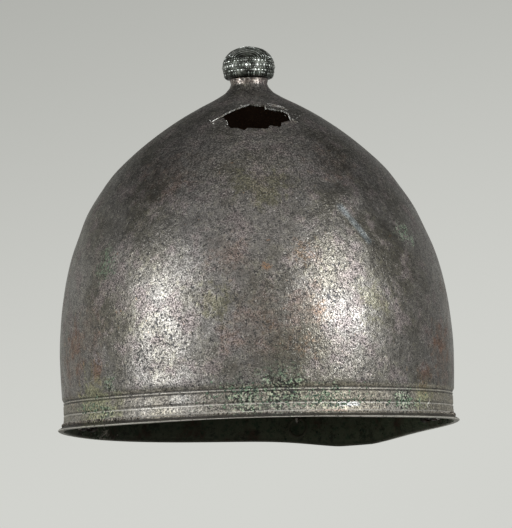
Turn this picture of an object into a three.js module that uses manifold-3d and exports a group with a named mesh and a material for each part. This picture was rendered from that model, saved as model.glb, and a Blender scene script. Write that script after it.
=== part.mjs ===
// A bronze Italic helmet with a crest knob, cheekpiece hinge remains and a strap ring.
// Millimetres, +Z up. The front of the helmet looks along -Y, and its left as photographed is -X.
// The helmet stands on z = 0 on the front of its lip and on the lowest part of its back edge.
import * as THREE from "three";
import { mergeVertices } from "three/addons/utils/BufferGeometryUtils.js";
import Module from "manifold-3d";

const wasm = await Module();
wasm.setup();

// Bowl: outer sizes, measured from the lip edge upwards. The lip stands out past the widest part of
// the wall by its flare, and the band lies inside that part by its inset.
const rimWidth = 215;
const rimLength = 233;
const lipFlare = 2.2;
const neckHeight = 188.5;
const wallThickness = 1.3;
const neckSolid = 11;

// Bowl outline above the engraved band: shares of neckHeight and of the wall's widest radius
const wallOutlineShares = [
  [0.094, 0.995],
  [0.16, 0.999],
  [0.226, 1],
  [0.293, 0.9925],
  [0.36, 0.98],
  [0.43, 0.957],
  [0.498, 0.923],
  [0.562, 0.878],
  [0.62, 0.833],
  [0.676, 0.769],
  [0.732, 0.695],
  [0.787, 0.594],
  [0.835, 0.49],
  [0.881, 0.373],
  [0.9155, 0.269],
  [0.94, 0.185],
  [0.961, 0.124],
  [0.9755, 0.101],
  [0.9865, 0.093],
  [1, 0.0985],
];
const wallSteps = 20;
const bowlSides = 60;

// Engraved band and lip
const bandHeight = 17.5;
const bandInset = 1.2;
const grooveWidth = 1.1;
const grooveDepth = 0.5;
const grooveHeightShares = [0.485, 0.803, 0.893];
const mouldingHeight = 3.1;
const mouldingWidth = 1.7;
const mouldingRise = 1.5;
const mouldingShoulderShare = 1 / 3;
const lipRecess = 0.8;
const lipEdge = 0.9;
const lipThickness = 3.2;

// Warp of the rim: raised sides, a lower back and one deep dip behind the right side
const sideArch = 1.4;
const sideArchPower = 6;
const backDrop = 1.2;
const dipDepth = 5.2;
const dipAngle = THREE.MathUtils.degToRad(30);
const dipSpread = THREE.MathUtils.degToRad(13);
const warpHeight = 48;
const standFlat = 0.5;

// Slight bulge of the crown to the left, with the powers of its rise and fall along the height
const lopShift = 1.3;
const lopRise = 6;
const lopFall = 2;

// Loss hole in the front of the crown: outline in shares of its own width and height
const holeWidth = 37.4;
const holeHeight = 17.4;
const holeSide = 2.9;
const holeBelowNeck = 25.8;
const holeOutlineShares = [
  [-0.5, 0.05],
  [-0.414, 0.19],
  [-0.2, 0.41],
  [-0.086, 0.5],
  [0.084, 0.45],
  [0.162, 0.43],
  [0.14, 0.335],
  [0.238, 0.31],
  [0.393, 0.24],
  [0.463, 0.155],
  [0.5, -0.135],
  [0.371, -0.22],
  [0.355, -0.385],
  [0.2, -0.33],
  [0.186, -0.425],
  [0.129, -0.445],
  [-0.123, -0.41],
  [-0.152, -0.5],
  [-0.249, -0.4],
  [-0.347, -0.385],
  [-0.396, -0.285],
  [-0.402, -0.12],
  [-0.458, 0.005],
];

// Crest knob, its pin and the washer under the crown
const knobRadius = 13.9;
const knobHeight = 17.5;
const knobOutlineShares = [
  [0, 0.75],
  [0.04, 0.92],
  [0.14, 0.965],
  [0.33, 1],
  [0.5, 0.99],
  [0.66, 0.905],
  [0.8, 0.755],
  [0.91, 0.555],
  [0.975, 0.315],
];
const knobSides = 30;
const knobSteps = 11;
const pinRadius = 2.4;
const pinInKnob = 9;
const pinHeadRadius = 4.2;
const pinHeadHeight = 1.8;
const pinHeadEdgeShares = { radius: 0.7, height: 0.7 };
const washerRadius = 7.5;
const washerThickness = 1.3;
const roundSides = 14;

// Cheekpiece hinges: a riveted plate with two knuckles and their pin on each side
const hingeAngle = THREE.MathUtils.degToRad(70);
const hingeWidth = 21;
const hingeTop = 18;
const hingeThickness = 1.5;
const hingeSteps = 6;
const hingeKnuckleHeight = 5;
const knuckleRadius = 2.3;
const knuckleWidth = 6.5;
const hingePinRadius = 1;
const hingePinHeadRadius = 1.8;
const hingePinHeadLength = 0.9;
const rivetRadius = 1.4;
const rivetHeadRadius = 2.7;
const rivetHeadHeight = 1.1;
const rivetHeadEdgeShares = { radius: 0.6, height: 0.8 };
const rivetSpacing = 12;
const rivetHeight = 11.6;

// Strap ring and the staple that holds it inside the back
const stapleAngle = THREE.MathUtils.degToRad(12.8);
const stapleHeight = 13.4;
const stapleShankRadius = 1.3;
const stapleEyeRadius = 2.6;
const stapleWireRadius = 0.85;
const stapleEyeStandoff = 4.6;
const stapleLegLength = 7;
const stapleLegWidth = 2.4;
const stapleLegThickness = 1.1;
const ringRadius = 5;
const ringWireRadius = 1;
const ringSides = 22;
const wireSides = 8;

// Fits
const clearance = 0.3;
const overrun = 2;

const rimRadius = rimWidth / 2;
const wallRadius = rimRadius - lipFlare;
const bandRadius = wallRadius - bandInset;
const ovalRatio = rimLength / rimWidth;
const frontAngle = Math.PI;

// Height change of the rim at an angle from straight back, positive towards +X
function rimLift(angle) {
  const arch = sideArch * Math.abs(Math.sin(angle)) ** sideArchPower;
  const drop = backDrop * Math.max(0, Math.cos(angle));
  const fromDip = (angle - dipAngle) / dipSpread;
  return arch - drop - dipDepth * Math.exp((-fromDip * fromDip) / 2);
}

// How much of the rim's warp is left at a height
function warpShare(height) {
  const t = THREE.MathUtils.clamp(height / warpHeight, 0, 1);
  return (1 - t) ** 2 * (1 + 2 * t);
}

// Length against width of the bowl's section at a height: oval at the rim, round at the neck
function ovalAt(height) {
  const t = THREE.MathUtils.clamp(height / neckHeight, 0, 1);
  return 1 + (ovalRatio - 1) * (1 - t ** 3);
}

// Sideways shift of the bowl's section at a height: none at the rim and in the solid neck
function lopAt(height) {
  const t = THREE.MathUtils.clamp(height / (neckHeight - neckSolid), 0, 1);
  const peak = lopRise / (lopRise + lopFall);
  return -lopShift * (t / peak) ** lopRise * ((1 - t) / (1 - peak)) ** lopFall;
}

// Height in the warped bowl of a place that lies at a height in the plain one
function warpedHeight(angle, height) {
  return height + rimLift(angle) * warpShare(height);
}

// Point of the oval section at an angle from straight back
function wallPoint(angle, radius, height) {
  return new THREE.Vector3(
    radius * Math.sin(angle),
    radius * ovalAt(height) * Math.cos(angle),
    warpedHeight(angle, height),
  );
}

// Outward direction of the oval section at an angle from straight back
function wallNormal(angle, height) {
  return new THREE.Vector3(ovalAt(height) * Math.sin(angle), Math.cos(angle), 0).normalize();
}

// Angle that a length along the oval section takes up at an angle from straight back
function angleSpan(angle, length, radius, height) {
  const long = ovalAt(height);
  const stretch = Math.hypot(Math.cos(angle), long * Math.sin(angle));
  return length / (radius * stretch);
}

function outlineCurve(shares, radius, height, base) {
  return new THREE.SplineCurve(
    shares.map(([high, wide]) => new THREE.Vector2(wide * radius, base + high * height)),
  );
}

const wallOutline = outlineCurve(wallOutlineShares, wallRadius, neckHeight, 0);
const waistRadius = bandRadius - wallThickness;

function toSolid(geometry) {
  const bare = geometry.clone();
  bare.deleteAttribute("normal");
  bare.deleteAttribute("uv");
  const merged = mergeVertices(bare);
  return new wasm.Manifold(
    new wasm.Mesh({
      numProp: 3,
      vertProperties: new Float32Array(merged.attributes.position.array),
      triVerts: new Uint32Array(merged.index.array),
    }),
  );
}

function toGeometry(solid) {
  const made = solid.getMesh();
  const geometry = new THREE.BufferGeometry();
  geometry.setAttribute("position", new THREE.BufferAttribute(made.vertProperties, made.numProp));
  geometry.setIndex(new THREE.BufferAttribute(made.triVerts, 1));
  const flat = geometry.toNonIndexed();
  flat.computeVertexNormals();
  return flat;
}

// Turned solid about +Z from points of radius and height, listed from the bottom up on the outside
function turned(points, sides) {
  const geometry = new THREE.LatheGeometry(points, sides);
  geometry.rotateX(Math.PI / 2);
  return geometry;
}

// Cylinder along a direction, from one distance to another measured from a point
function rod(radius, point, direction, from, to, sides = roundSides) {
  const geometry = new THREE.CylinderGeometry(radius, radius, to - from, sides);
  geometry.translate(0, (from + to) / 2, 0);
  const turn = new THREE.Quaternion().setFromUnitVectors(new THREE.Vector3(0, 1, 0), direction);
  geometry.applyQuaternion(turn);
  geometry.translate(point.x, point.y, point.z);
  return geometry;
}

function grooveOutline(centre, radius) {
  return [
    new THREE.Vector2(radius, centre - grooveWidth / 2),
    new THREE.Vector2(radius - grooveDepth, centre),
    new THREE.Vector2(radius, centre + grooveWidth / 2),
  ];
}

// Outer side of the lip and the engraved band, from the lip edge up
function lipOutline() {
  const mouldingRadius = bandRadius + mouldingRise;
  const shoulderRadius = bandRadius + mouldingShoulderShare * mouldingRise;
  const points = [
    new THREE.Vector2(rimRadius - lipEdge / 2, 0),
    new THREE.Vector2(rimRadius, lipEdge / 2),
    new THREE.Vector2(rimRadius - lipEdge / 2, lipEdge),
    new THREE.Vector2(mouldingRadius - lipRecess, mouldingHeight - mouldingWidth / 2),
    new THREE.Vector2(mouldingRadius, mouldingHeight),
    new THREE.Vector2(shoulderRadius, mouldingHeight + mouldingWidth / 2),
    new THREE.Vector2(bandRadius, mouldingHeight + 2 * mouldingWidth),
  ];
  for (const share of grooveHeightShares) points.push(...grooveOutline(share * bandHeight, bandRadius));
  return points;
}

// Inner side of the wall, offset from the outline by the wall thickness
function innerOutline(outer, seatRadius, ceiling) {
  const inner = [];
  for (let i = 1; i < outer.length - 1; i++) {
    const along = outer[i + 1].clone().sub(outer[i - 1]).normalize();
    const inward = new THREE.Vector2(-along.y, along.x).multiplyScalar(wallThickness);
    const point = outer[i].clone().add(inward);
    if (point.x > seatRadius + wallThickness && point.y < ceiling) inner.push(point);
  }
  return inner;
}

function bowlProfile() {
  const outer = wallOutline.getPoints(wallSteps);
  const ceiling = neckHeight - neckSolid;
  const seatRadius = washerRadius + 2 * clearance;
  const bore = pinRadius + clearance;
  const inner = innerOutline(outer, seatRadius, ceiling);
  return [
    new THREE.Vector2(rimRadius - lipThickness, 0),
    ...lipOutline(),
    ...outer,
    new THREE.Vector2(bore, neckHeight),
    new THREE.Vector2(bore, ceiling),
    new THREE.Vector2(seatRadius, ceiling),
    ...inner.reverse(),
    new THREE.Vector2(waistRadius, bandHeight),
    new THREE.Vector2(waistRadius, 2 * mouldingWidth),
    new THREE.Vector2(rimRadius - lipThickness, 0),
  ];
}

// Gives the plain turned bowl its oval section, its slight bulge and its warped rim
function warpBowl(geometry) {
  const position = geometry.attributes.position;
  for (let i = 0; i < position.count; i++) {
    const [x, y, z] = [position.getX(i), position.getY(i), position.getZ(i)];
    const angle = Math.atan2(x, y);
    position.setXYZ(i, x + lopAt(z), y * ovalAt(z), warpedHeight(angle, z));
  }
}

// The loss hole, as a block cut inwards from in front of the crown to its axis
function holeCutter() {
  const outline = new THREE.Shape(
    holeOutlineShares.map(([side, high]) => new THREE.Vector2(side * holeWidth, high * holeHeight)),
  );
  const geometry = new THREE.ExtrudeGeometry(outline, { depth: wallRadius, bevelEnabled: false });
  geometry.rotateX(Math.PI / 2);
  geometry.translate(holeSide, 0, neckHeight - holeBelowNeck);
  return geometry;
}

// Lean of the bowl's axis when the helmet stands on its front lip and on the dip
const frontPoint = wallPoint(frontAngle, rimRadius, 0);
const dipPoint = wallPoint(dipAngle, rimRadius, 0);
const lean = Math.atan2(frontPoint.z - dipPoint.z, dipPoint.y - frontPoint.y);

// Takes the rim's lowest places down to a flat that the helmet stands on
function standCutter() {
  const size = 2 * rimLength;
  const geometry = new THREE.BoxGeometry(size, size, size);
  geometry.translate(0, 0, standFlat - size / 2);
  geometry.rotateX(-lean);
  geometry.translate(0, frontPoint.y, frontPoint.z);
  return geometry;
}

// The two hinges stand at the same angle from straight back, left and right
const hingeSides = { left: -1, right: 1 };

// Angles of a hinge's two rivets
function rivetAngles(side) {
  const half = angleSpan(hingeAngle, rivetSpacing / 2, waistRadius, rivetHeight);
  return { front: side * (hingeAngle + half), back: side * (hingeAngle - half) };
}

function rivetBore(angle) {
  const point = wallPoint(angle, waistRadius, rivetHeight);
  const reach = hingeThickness + overrun;
  const far = wallThickness + overrun;
  return rod(rivetRadius + clearance, point, wallNormal(angle, rivetHeight), -reach, far);
}

function makeBowl() {
  const geometry = turned(bowlProfile(), bowlSides);
  warpBowl(geometry);
  let solid = toSolid(geometry);
  const cutters = [holeCutter(), standCutter()];
  for (const side of Object.values(hingeSides)) {
    for (const angle of Object.values(rivetAngles(side))) cutters.push(rivetBore(angle));
  }
  const shank = wallPoint(stapleAngle, waistRadius, stapleHeight);
  const through = wallThickness + overrun;
  const outward = wallNormal(stapleAngle, stapleHeight);
  cutters.push(rod(stapleShankRadius + clearance, shank, outward, -overrun, through));
  for (const cutter of cutters) solid = solid.subtract(toSolid(cutter));
  return toGeometry(solid);
}

function makeKnob() {
  const base = neckHeight + clearance;
  const curve = outlineCurve(knobOutlineShares, knobRadius, knobHeight, base);
  const bore = pinRadius + clearance;
  const boreTop = base + pinInKnob;
  const points = [
    new THREE.Vector2(0, boreTop),
    new THREE.Vector2(bore, boreTop),
    new THREE.Vector2(bore, base),
    ...curve.getPoints(knobSteps),
    new THREE.Vector2(0, base + knobHeight),
  ];
  return toGeometry(toSolid(turned(points, knobSides)));
}

// Pin from the knob's bore through the neck, its lower end hammered over the washer
function makeKnobPin() {
  const seat = neckHeight - neckSolid - washerThickness - 2 * clearance;
  const top = neckHeight + pinInKnob;
  const edge = pinHeadEdgeShares;
  const points = [
    new THREE.Vector2(0, seat - pinHeadHeight),
    new THREE.Vector2(pinHeadRadius * edge.radius, seat - pinHeadHeight * edge.height),
    new THREE.Vector2(pinHeadRadius, seat),
    new THREE.Vector2(pinRadius, seat),
    new THREE.Vector2(pinRadius, top),
    new THREE.Vector2(0, top),
  ];
  return toGeometry(toSolid(turned(points, roundSides)));
}

function makeKnobWasher() {
  const top = neckHeight - neckSolid - clearance;
  const bore = pinRadius + clearance;
  const points = [
    new THREE.Vector2(bore, top - washerThickness),
    new THREE.Vector2(washerRadius, top - washerThickness),
    new THREE.Vector2(washerRadius, top),
    new THREE.Vector2(bore, top),
    new THREE.Vector2(bore, top - washerThickness),
  ];
  return toGeometry(toSolid(turned(points, roundSides)));
}

// Axis of a hinge's pin: a level line along the wall, clear of it over its whole length
function pinLine(side) {
  const angle = side * hingeAngle;
  const normal = wallNormal(angle, hingeKnuckleHeight);
  const halfLength = hingeWidth / 2 + clearance + hingePinHeadLength;
  const bend = (halfLength * halfLength) / (2 * waistRadius) * ovalRatio;
  const inset = clearance + knuckleRadius + bend;
  const point = wallPoint(angle, waistRadius, hingeKnuckleHeight);
  point.addScaledVector(normal, -inset);
  const along = new THREE.Vector3(normal.y, -normal.x, 0);
  return { point, along, halfLength };
}

// Plate that follows the wall's curve, with a knuckle at each end of its lower edge
function makeHingePlate(side) {
  const half = angleSpan(hingeAngle, hingeWidth / 2, waistRadius, hingeKnuckleHeight);
  const outerEdge = [];
  const innerEdge = [];
  for (let i = 0; i <= hingeSteps; i++) {
    const angle = side * hingeAngle + half * ((2 * i) / hingeSteps - 1);
    const place = wallPoint(angle, waistRadius, hingeKnuckleHeight);
    const normal = wallNormal(angle, hingeKnuckleHeight);
    const near = place.clone().addScaledVector(normal, -clearance);
    const far = place.clone().addScaledVector(normal, -clearance - hingeThickness);
    outerEdge.push(new THREE.Vector2(near.x, near.y));
    innerEdge.push(new THREE.Vector2(far.x, far.y));
  }
  const line = pinLine(side);
  const plateHeight = hingeTop - hingeKnuckleHeight;
  const outline = new THREE.Shape([...outerEdge, ...innerEdge.reverse()]);
  const plate = new THREE.ExtrudeGeometry(outline, { depth: plateHeight, bevelEnabled: false });
  plate.translate(0, 0, line.point.z);
  let solid = toSolid(plate);
  const end = hingeWidth / 2;
  for (const [from, to] of [[-end, knuckleWidth - end], [end - knuckleWidth, end]]) {
    solid = solid.add(toSolid(rod(knuckleRadius, line.point, line.along, from, to)));
  }
  const bore = rod(hingePinRadius + clearance, line.point, line.along, -end - overrun, end + overrun);
  solid = solid.subtract(toSolid(bore));
  for (const angle of Object.values(rivetAngles(side))) solid = solid.subtract(toSolid(rivetBore(angle)));
  return toGeometry(solid);
}

function makeHingePin(side) {
  const { point, along, halfLength } = pinLine(side);
  const neck = hingeWidth / 2 + clearance;
  let solid = toSolid(rod(hingePinRadius, point, along, -halfLength, halfLength));
  for (const [from, to] of [[-halfLength, -neck], [neck, halfLength]]) {
    solid = solid.add(toSolid(rod(hingePinHeadRadius, point, along, from, to)));
  }
  return toGeometry(solid);
}

// Rivet through plate and wall, with a low round head on both sides
function makeRivet(angle) {
  const innerSeat = -2 * clearance - hingeThickness;
  const outerSeat = wallThickness * ovalRatio + clearance;
  const edge = rivetHeadEdgeShares;
  const points = [
    new THREE.Vector2(0, innerSeat - rivetHeadHeight),
    new THREE.Vector2(rivetHeadRadius * edge.radius, innerSeat - rivetHeadHeight * edge.height),
    new THREE.Vector2(rivetHeadRadius, innerSeat),
    new THREE.Vector2(rivetRadius, innerSeat),
    new THREE.Vector2(rivetRadius, outerSeat),
    new THREE.Vector2(rivetHeadRadius, outerSeat),
    new THREE.Vector2(rivetHeadRadius * edge.radius, outerSeat + rivetHeadHeight * edge.height),
    new THREE.Vector2(0, outerSeat + rivetHeadHeight),
  ];
  const geometry = turned(points, roundSides);
  const normal = wallNormal(angle, rivetHeight);
  const turn = new THREE.Quaternion().setFromUnitVectors(new THREE.Vector3(0, 0, 1), normal);
  geometry.applyQuaternion(turn);
  const place = wallPoint(angle, waistRadius, rivetHeight);
  geometry.translate(place.x, place.y, place.z);
  return toGeometry(toSolid(geometry));
}

// Place of the staple's eye, and the directions out of the wall and along it
const stapleOut = wallNormal(stapleAngle, stapleHeight);
const stapleAlong = new THREE.Vector3(stapleOut.y, -stapleOut.x, 0);
const stapleFoot = wallPoint(stapleAngle, waistRadius, stapleHeight);
const stapleEye = stapleFoot.clone().addScaledVector(stapleOut, -stapleEyeStandoff);

// Turns a ring that was made facing +Z so that it faces along the wall
function faceAlongWall(geometry) {
  const turn = new THREE.Quaternion().setFromUnitVectors(new THREE.Vector3(0, 0, 1), stapleAlong);
  geometry.applyQuaternion(turn);
  return geometry;
}

// Split staple: an eye inside, a shank through the wall and two legs spread flat outside
function makeStaple() {
  const eye = faceAlongWall(
    new THREE.TorusGeometry(stapleEyeRadius, stapleWireRadius, wireSides, ringSides),
  );
  eye.translate(stapleEye.x, stapleEye.y, stapleEye.z);
  const legSeat = wallThickness * ovalRatio + clearance;
  const shankStart = stapleEyeRadius - stapleEyeStandoff;
  let solid = toSolid(eye);
  const shankEnd = legSeat + stapleLegThickness;
  solid = solid.add(toSolid(rod(stapleShankRadius, stapleFoot, stapleOut, shankStart, shankEnd)));
  const legs = new THREE.BoxGeometry(2 * stapleLegLength, stapleLegThickness, stapleLegWidth);
  legs.translate(0, legSeat + stapleLegThickness / 2, 0);
  legs.rotateZ(Math.atan2(stapleAlong.y, stapleAlong.x));
  legs.translate(stapleFoot.x, stapleFoot.y, stapleFoot.z);
  return toGeometry(solid.add(toSolid(legs)));
}

// Ring about its own pivot, which is the middle of the wire inside the eye; it hangs straight down
function makeStrapRing() {
  const ring = new THREE.TorusGeometry(ringRadius, ringWireRadius, wireSides, ringSides);
  const turn = new THREE.Quaternion().setFromUnitVectors(new THREE.Vector3(0, 0, 1), stapleOut);
  ring.applyQuaternion(turn);
  ring.translate(0, 0, -ringRadius);
  return toGeometry(toSolid(ring));
}

const bronze = { color: 0x5a564f, roughness: 0.45, metalness: 0.8 };
const darkBronze = { color: 0x3a3d38, roughness: 0.5, metalness: 0.7 };
const redBronze = { color: 0x4d3b31, roughness: 0.6, metalness: 0.7 };

function addMesh(parent, name, geometry, finish) {
  const mesh = new THREE.Mesh(geometry, new THREE.MeshStandardMaterial(finish));
  mesh.name = name;
  parent.add(mesh);
  return mesh;
}

const helmet = new THREE.Group();

// The bowl and all that is fixed to it, leaning as the helmet stands
const leaning = new THREE.Group();
leaning.rotation.x = lean;
const footHeight = frontPoint.clone().applyAxisAngle(new THREE.Vector3(1, 0, 0), lean).z;
leaning.position.z = -footHeight - standFlat;
helmet.add(leaning);

addMesh(leaning, "bowl", makeBowl(), bronze);
addMesh(leaning, "crest_knob", makeKnob(), darkBronze);
addMesh(leaning, "knob_pin", makeKnobPin(), redBronze);
addMesh(leaning, "knob_washer", makeKnobWasher(), redBronze);
for (const [name, side] of Object.entries(hingeSides)) {
  addMesh(leaning, "hinge_plate_" + name, makeHingePlate(side), redBronze);
  addMesh(leaning, "hinge_pin_" + name, makeHingePin(side), darkBronze);
  for (const [place, angle] of Object.entries(rivetAngles(side))) {
    addMesh(leaning, "hinge_rivet_" + name + "_" + place, makeRivet(angle), darkBronze);
  }
}
addMesh(leaning, "strap_staple", makeStaple(), redBronze);

// The ring hangs in the eye, so it is placed in the standing frame and not in the leaning one
leaning.updateMatrix();
const ringDrop = stapleEyeRadius - stapleWireRadius - ringWireRadius - clearance;
const ringPivot = stapleEye.clone().applyMatrix4(leaning.matrix);
ringPivot.z -= ringDrop;
const strapRing = addMesh(helmet, "strap_ring", makeStrapRing(), darkBronze);
strapRing.position.copy(ringPivot);

export default helmet;
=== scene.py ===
import random
from math import asin, atan2, cos, exp, hypot, pi, radians, remainder, sin, sqrt

import bmesh
import bpy
import numpy as np
from mathutils import Matrix, Vector
from mathutils.geometry import tessellate_polygon


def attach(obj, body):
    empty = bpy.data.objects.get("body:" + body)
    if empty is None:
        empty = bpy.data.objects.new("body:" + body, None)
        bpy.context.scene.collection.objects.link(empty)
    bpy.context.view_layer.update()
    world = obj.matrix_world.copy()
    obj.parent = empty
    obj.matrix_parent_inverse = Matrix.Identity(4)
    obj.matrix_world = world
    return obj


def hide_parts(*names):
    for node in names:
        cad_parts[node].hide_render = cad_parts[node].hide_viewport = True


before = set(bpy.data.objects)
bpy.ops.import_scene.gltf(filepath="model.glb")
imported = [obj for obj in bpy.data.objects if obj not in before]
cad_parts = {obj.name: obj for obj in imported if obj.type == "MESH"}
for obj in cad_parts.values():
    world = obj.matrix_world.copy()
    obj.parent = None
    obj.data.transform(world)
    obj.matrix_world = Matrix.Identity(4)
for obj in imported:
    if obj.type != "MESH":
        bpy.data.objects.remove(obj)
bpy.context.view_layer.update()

mm = 0.001

# All places are in metres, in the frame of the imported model: +Z up, the helmet's front towards -Y.
# The bowl's own axis leans a little, so its forms are worked out upright and then stood up.


# A field is an output of a node, and the sums below serve numbers and fields alike

def sign(operation):
    return lambda first, second: calc(operation, first, second)


class Field:
    def __init__(self, tree, socket):
        self.tree, self.socket = tree, socket

    __add__, __sub__, __mul__ = sign("ADD"), sign("SUBTRACT"), sign("MULTIPLY")
    __truediv__, __pow__ = sign("DIVIDE"), sign("POWER")

    def __rsub__(self, other):
        return calc("SUBTRACT", other, self)

    def __abs__(self):
        return calc("ABSOLUTE", self)


def treeOf(*values):
    return next(value.tree for value in values if isinstance(value, Field))


def feed(socket, value):
    if isinstance(value, Field):
        value.tree.links.new(value.socket, socket)
    else:
        socket.default_value = value


def addNode(tree, kind, **settings):
    node = tree.nodes.new(kind)
    for key, value in settings.items():
        setattr(node, key, value)
    return node


# Adds a node, feeds its inputs by name or number and gives one of its outputs
def through(tree, kind, inputs=(), output=0, **settings):
    node = addNode(tree, kind, **settings)
    for label, value in dict(inputs).items():
        feed(node.inputs[label], value)
    return Field(tree, node.outputs[output])


plainCalc = {"DIVIDE": lambda first, second: first / second, "MAXIMUM": max,
             "SINE": sin, "COSINE": cos, "EXPONENT": exp}


def calc(operation, *values, clamped=False):
    if any(isinstance(value, Field) for value in values):
        return through(treeOf(*values), "ShaderNodeMath", enumerate(values), operation=operation,
                       use_clamp=clamped)
    result = plainCalc[operation](*values)
    return min(max(result, 0), 1) if clamped else result


def highest(first, *others):
    for other in others:
        first = calc("MAXIMUM", first, other)
    return first


def vectorCalc(operation, *values, output=0):
    return through(treeOf(*values), "ShaderNodeVectorMath", enumerate(values), output,
                   operation=operation)


def scaled(vector, amount):
    return through(treeOf(vector, amount), "ShaderNodeVectorMath", {0: vector, "Scale": amount},
                   operation="SCALE")


def join(x, y, z):
    return through(treeOf(x, y, z), "ShaderNodeCombineXYZ", enumerate((x, y, z)))


def split(vector):
    node = addNode(vector.tree, "ShaderNodeSeparateXYZ")
    feed(node.inputs[0], vector)
    return [Field(vector.tree, socket) for socket in node.outputs]


def noiseOf(coords, scale, detail=2.0, roughness=0.5):
    return through(coords.tree, "ShaderNodeTexNoise", {
        "Vector": coords, "Scale": scale, "Detail": detail, "Roughness": roughness})


def ramp(value, low, high, least=0.0, most=1.0):
    return through(value.tree, "ShaderNodeMapRange", {
        "Value": value, "From Min": low, "From Max": high, "To Min": least, "To Max": most},
        interpolation_type="SMOOTHSTEP")


def mixed(factor, first, second, blend="MIX"):
    return through(treeOf(factor, first, second), "ShaderNodeMix", {0: factor, 6: first, 7: second},
                   2, data_type="RGBA", blend_type=blend)


def shaded(color, amount, share=1.0):
    return mixed(share, color, amount, "MULTIPLY")


# Grows a mesh from a base object with a tree, which is built the first time it is asked for

def growMesh(base, name, build, values):
    tree = bpy.data.node_groups.get(name)
    if not tree:
        tree = bpy.data.node_groups.new(name, "GeometryNodeTree")
        kinds = {int: "Int", float: "Float", tuple: "Vector", bpy.types.Material: "Material"}
        tree.interface.new_socket("Geometry", in_out="INPUT", socket_type="NodeSocketGeometry")
        for label, value in values.items():
            tree.interface.new_socket(label, in_out="INPUT",
                                      socket_type="NodeSocket" + kinds[type(value)])
        tree.interface.new_socket("Geometry", in_out="OUTPUT", socket_type="NodeSocketGeometry")
        enter = addNode(tree, "NodeGroupInput")
        geometry = build(tree, {socket.name: Field(tree, socket) for socket in enter.outputs})
        whole = through(tree, "GeometryNodeRealizeInstances", {0: geometry})
        painted = through(tree, "GeometryNodeSetMaterial", {
            0: whole, "Material": Field(tree, enter.outputs["material"])})
        feed(addNode(tree, "NodeGroupOutput").inputs[0], painted)
    modifier = base.modifiers.new(name, "NODES")
    modifier.node_group = tree
    for item in tree.interface.items_tree:
        if item.in_out == "INPUT" and item.name in values:
            modifier[item.identifier] = values[item.name]
    mesh = evaluatedMesh(base)
    base.modifiers.remove(modifier)
    return mesh


# Small helpers for meshes

def evaluatedMesh(piece):
    graph = bpy.context.evaluated_depsgraph_get()
    return bpy.data.meshes.new_from_object(
        piece.evaluated_get(graph), preserve_all_data_layers=True, depsgraph=graph)


def addObject(name, data):
    piece = bpy.data.objects.new(name, data)
    bpy.context.scene.collection.objects.link(piece)
    return piece


def meshOf(name, points, faces=(), edges=()):
    mesh = bpy.data.meshes.new(name)
    mesh.from_pydata([tuple(point) for point in points], list(edges), list(faces))
    return mesh


def dropObject(piece):
    mesh = piece.data
    bpy.data.objects.remove(piece)
    bpy.data.meshes.remove(mesh)


def applyModifiers(piece):
    mesh = evaluatedMesh(piece)
    piece.modifiers.clear()
    piece.data = mesh


def smoothFaces(mesh, sharpAngle=None):
    mesh.polygons.foreach_set("use_smooth", [True] * len(mesh.polygons))
    if sharpAngle:
        mesh.set_sharp_from_angle(angle=sharpAngle)


# Gathers meshes into a new one, with a change to the whole
def gathered(name, meshes, change):
    whole = bmesh.new()
    for mesh in meshes:
        whole.from_mesh(mesh)
    change(whole)
    made = bpy.data.meshes.new(name)
    whole.to_mesh(made)
    whole.free()
    return made


def joinMeshes(name, meshes, metal):
    def paintAll(whole):
        for face in whole.faces:
            face.material_index = 0
    made = gathered(name, meshes, paintAll)
    made.materials.append(metals[metal])
    smoothFaces(made)
    return made


# Faces between rings of points that follow each other in one list
def ringFaces(count, sides, first=0):
    corners = [(first + i * sides + k, first + i * sides + (k + 1) % sides)
               for i in range(count - 1) for k in range(sides)]
    return [(a, b, b + sides, a + sides) for a, b in corners]


def setPiece(piece, body, slot, *nodes):
    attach(piece, body)
    if nodes:
        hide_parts(*nodes)


# Colours are written as they show, 0 to 255

def paint(red, green, blue):
    def linear(value):
        share = value / 255
        return share / 12.92 if share <= 0.04045 else ((share + 0.055) / 1.055) ** 2.4
    return linear(red), linear(green), linear(blue), 1


def newMaterial(name):
    material = bpy.data.materials.new(name)
    material.use_nodes = True
    tree = material.node_tree
    tree.nodes.clear()
    shader = addNode(tree, "ShaderNodeBsdfPrincipled")
    leave = addNode(tree, "ShaderNodeOutputMaterial")
    tree.links.new(shader.outputs[0], leave.inputs["Surface"])
    return material, shader, through(tree, "ShaderNodeTexCoord", output="Object")


def setShader(shader, color, metallic, roughness, layers):
    feed(shader.inputs["Base Color"], color)
    feed(shader.inputs["Metallic"], metallic)
    feed(shader.inputs["Roughness"], roughness)
    before = {}
    for height, distance in layers:
        normal = through(height.tree, "ShaderNodeBump", {
            "Strength": 1, "Distance": distance, "Height": height, **before})
        before = {"Normal": normal}
    feed(shader.inputs["Normal"], normal)


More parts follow.
